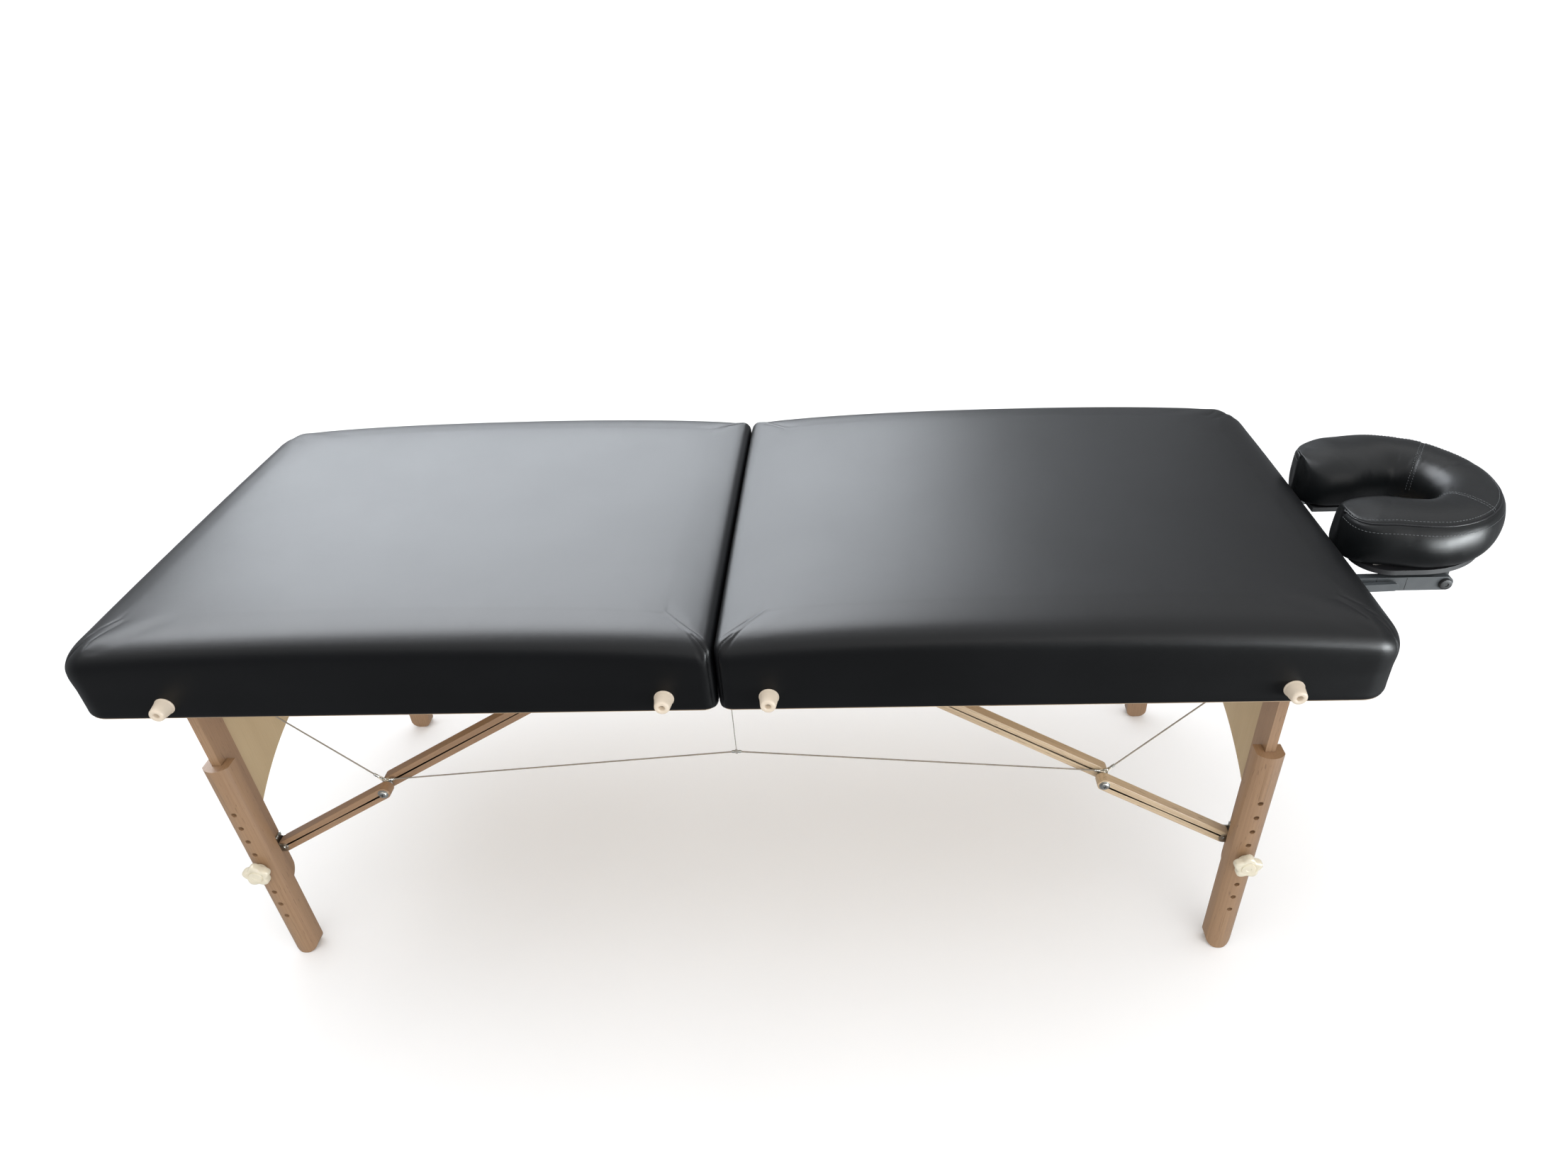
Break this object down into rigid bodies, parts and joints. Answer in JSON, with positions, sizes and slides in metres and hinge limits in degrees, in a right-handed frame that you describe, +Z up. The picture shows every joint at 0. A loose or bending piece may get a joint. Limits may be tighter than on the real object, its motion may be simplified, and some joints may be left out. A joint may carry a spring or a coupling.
{
  "type": "portable massage table",
  "caption": "Folding padded treatment table with adjustable wooden legs, folding braces, tension cables and a horseshoe face cradle.",
  "frame": {"origin": "floor level, below the centre of the whole open table with its face cradle", "axes": "+X along the table towards the face cradle, +Y across it towards the carrying handles, +Z up"},
  "size_m": [2.132, 0.765, 0.752],
  "materials": {
    "rail_wood": "clear lacquered beech",
    "leg_wood": "clear satin lacquered beech with fine grain",
    "plywood": "pale lacquered birch plywood",
    "foam": "open-cell foam",
    "vinyl": "satin black upholstery vinyl",
    "cushion_vinyl": "satin black upholstery vinyl",
    "cream_rubber": "matte cream rubber",
    "cream_plastic": "satin cream nylon",
    "black_plastic": "satin black nylon",
    "grey_plastic": "dark grey glass-filled nylon",
    "steel": "zinc-plated steel",
    "cable": "clear-coated steel wire rope",
    "cord": "thin braided cord",
    "aluminium": "plain drawn tube"
  },
  "bodies": {
    "foot_panel": {"foot_side_rails": "rail_wood", "foot_cross_rails": "rail_wood", "foot_deck": "plywood", "foot_foam": "foam", "foot_outlet_sleeves": "black_plastic", "foot_cover": "vinyl", "foot_side_feet": "cream_rubber", "foot_handle": "black_plastic", "foot_hinge_leaf": "steel", "foot_brace_brackets": "steel", "foot_leg_pivots": "steel", "foot_centre_cables": "cable"},
    "hinge_pin": {"hinge_pin": "steel", "drop_cords": "cord"},
    "head_panel": {"head_side_rails": "rail_wood", "head_cross_rails": "rail_wood", "head_deck": "plywood", "head_foam": "foam", "head_outlet_sleeves": "black_plastic", "head_cover": "vinyl", "head_side_feet": "cream_rubber", "head_handle": "black_plastic", "head_hinge_leaf": "steel", "head_brace_brackets": "steel", "head_leg_pivots": "steel", "head_centre_cables": "cable"},
    "foot_leg_frame": {"foot_upper_legs": "leg_wood", "foot_end_plate": "plywood", "foot_brace_lugs": "steel", "foot_leg_studs": "steel", "foot_outer_cables": "cable"},
    "foot_upper_brace": {"foot_upper_braces": "leg_wood", "foot_knuckle_rings": "steel"},
    "foot_lower_brace": {"foot_lower_braces": "leg_wood", "foot_knuckle_bolts": "steel"},
    "foot_front_leg": {"foot_front_lower_leg": "leg_wood"},
    "foot_front_knob": {"foot_front_knob": "cream_plastic"},
    "foot_back_leg": {"foot_back_lower_leg": "leg_wood"},
    "foot_back_knob": {"foot_back_knob": "cream_plastic"},
    "head_leg_frame": {"head_upper_legs": "leg_wood", "head_end_plate": "plywood", "head_brace_lugs": "steel", "head_leg_studs": "steel", "head_outer_cables": "cable"},
    "head_upper_brace": {"head_upper_braces": "leg_wood", "head_knuckle_rings": "steel"},
    "head_lower_brace": {"head_lower_braces": "leg_wood", "head_knuckle_bolts": "steel"},
    "head_front_leg": {"head_front_lower_leg": "leg_wood"},
    "head_front_knob": {"head_front_knob": "cream_plastic"},
    "head_back_leg": {"head_back_lower_leg": "leg_wood"},
    "head_back_knob": {"head_back_knob": "cream_plastic"},
    "cradle_base": {"cradle_dowels": "aluminium", "cradle_crossbar": "grey_plastic"},
    "cradle_arms": {"cradle_arms": "grey_plastic"},
    "cradle_platform": {"cradle_platform": "black_plastic"},
    "cradle_cushion": {"cradle_cushion": "cushion_vinyl"},
    "cam_lever": {"cam_lever": "grey_plastic"}
  },
  "joints": [
    {"name": "open_and_close_first_half", "type": "hinge", "parent": "foot_panel", "child": "hinge_pin", "pos_m": [-0.139, 0, 0.6085], "axis": [0, 1, 0], "range_deg": [0, 90], "deforming": ["foot_centre_cables", "head_centre_cables", "foot_outer_cables", "head_outer_cables", "drop_cords"]},
    {"name": "open_and_close_second_half", "type": "hinge", "parent": "hinge_pin", "child": "head_panel", "pos_m": [-0.139, 0, 0.6085], "axis": [0, 1, 0], "range_deg": [0, 90], "deforming": ["foot_centre_cables", "head_centre_cables", "foot_outer_cables", "head_outer_cables", "drop_cords"]},
    {"name": "foot_legs_fold", "type": "hinge", "parent": "foot_panel", "child": "foot_leg_frame", "pos_m": [-0.951, 0, 0.633], "axis": [0, -1, 0], "range_deg": [0, 90]},
    {"name": "foot_upper_brace_fold", "type": "hinge", "parent": "foot_panel", "child": "foot_upper_brace", "pos_m": [-0.24, 0, 0.65], "axis": [0, 1, 0], "range_deg": [0, 31.2]},
    {"name": "foot_lower_brace_fold", "type": "hinge", "parent": "foot_leg_frame", "child": "foot_lower_brace", "pos_m": [-0.929, 0, 0.237], "axis": [0, -1, 0], "range_deg": [0, 59.74]},
    {"name": "foot_front_leg_height", "type": "slide", "parent": "foot_leg_frame", "child": "foot_front_leg", "axis": [0, 0, -1], "range_m": [-0.09525, 0.09525]},
    {"name": "foot_front_knob_turn", "type": "hinge", "parent": "foot_leg_frame", "child": "foot_front_knob", "pos_m": [-0.951, -0.32, 0.232], "axis": [0, -1, 0], "continuous": true},
    {"name": "foot_back_leg_height", "type": "slide", "parent": "foot_leg_frame", "child": "foot_back_leg", "axis": [0, 0, -1], "range_m": [-0.09525, 0.09525]},
    {"name": "foot_back_knob_turn", "type": "hinge", "parent": "foot_leg_frame", "child": "foot_back_knob", "pos_m": [-0.951, 0.32, 0.232], "axis": [0, 1, 0], "continuous": true},
    {"name": "head_legs_fold", "type": "hinge", "parent": "head_panel", "child": "head_leg_frame", "pos_m": [0.673, 0, 0.633], "axis": [0, 1, 0], "range_deg": [0, 90]},
    {"name": "head_upper_brace_fold", "type": "hinge", "parent": "head_panel", "child": "head_upper_brace", "pos_m": [-0.038, 0, 0.65], "axis": [0, -1, 0], "range_deg": [0, 31.2]},
    {"name": "head_lower_brace_fold", "type": "hinge", "parent": "head_leg_frame", "child": "head_lower_brace", "pos_m": [0.651, 0, 0.237], "axis": [0, 1, 0], "range_deg": [0, 59.74]},
    {"name": "head_front_leg_height", "type": "slide", "parent": "head_leg_frame", "child": "head_front_leg", "axis": [0, 0, -1], "range_m": [-0.09525, 0.09525]},
    {"name": "head_front_knob_turn", "type": "hinge", "parent": "head_leg_frame", "child": "head_front_knob", "pos_m": [0.673, -0.32, 0.232], "axis": [0, -1, 0], "continuous": true},
    {"name": "head_back_leg_height", "type": "slide", "parent": "head_leg_frame", "child": "head_back_leg", "axis": [0, 0, -1], "range_m": [-0.09525, 0.09525]},
    {"name": "head_back_knob_turn", "type": "hinge", "parent": "head_leg_frame", "child": "head_back_knob", "pos_m": [0.673, 0.32, 0.232], "axis": [0, 1, 0], "continuous": true},
    {"name": "cradle_plug", "type": "slide", "parent": "head_panel", "child": "cradle_base", "axis": [1, 0, 0], "range_m": [0, 0.06]},
    {"name": "cradle_arm_tilt", "type": "hinge", "parent": "cradle_base", "child": "cradle_arms", "pos_m": [0.807, 0, 0.647], "axis": [0, 1, 0], "range_deg": [0, 35]},
    {"name": "cradle_platform_tilt", "type": "hinge", "parent": "cradle_arms", "child": "cradle_platform", "pos_m": [0.949, 0, 0.647], "axis": [0, 1, 0], "range_deg": [0, 25]},
    {"name": "cushion_lift", "type": "slide", "parent": "cradle_platform", "child": "cradle_cushion", "axis": [0, 0, 1], "range_m": [0, 0.05]},
    {"name": "cam_lever_turn", "type": "hinge", "parent": "cradle_arms", "child": "cam_lever", "pos_m": [0.807, -0.143, 0.647], "axis": [0, 1, 0], "range_deg": [0, 55]}
  ],
  "couplings": [
    {"joint": "foot_legs_fold", "follows": "open_and_close_first_half", "ratio": 1},
    {"joint": "foot_upper_brace_fold", "follows": "open_and_close_first_half", "ratio": 0.34667},
    {"joint": "foot_lower_brace_fold", "follows": "open_and_close_first_half", "ratio": 0.66378},
    {"joint": "head_legs_fold", "follows": "open_and_close_first_half", "ratio": 1},
    {"joint": "head_upper_brace_fold", "follows": "open_and_close_first_half", "ratio": 0.34667},
    {"joint": "head_lower_brace_fold", "follows": "open_and_close_first_half", "ratio": 0.66378}
  ]
}
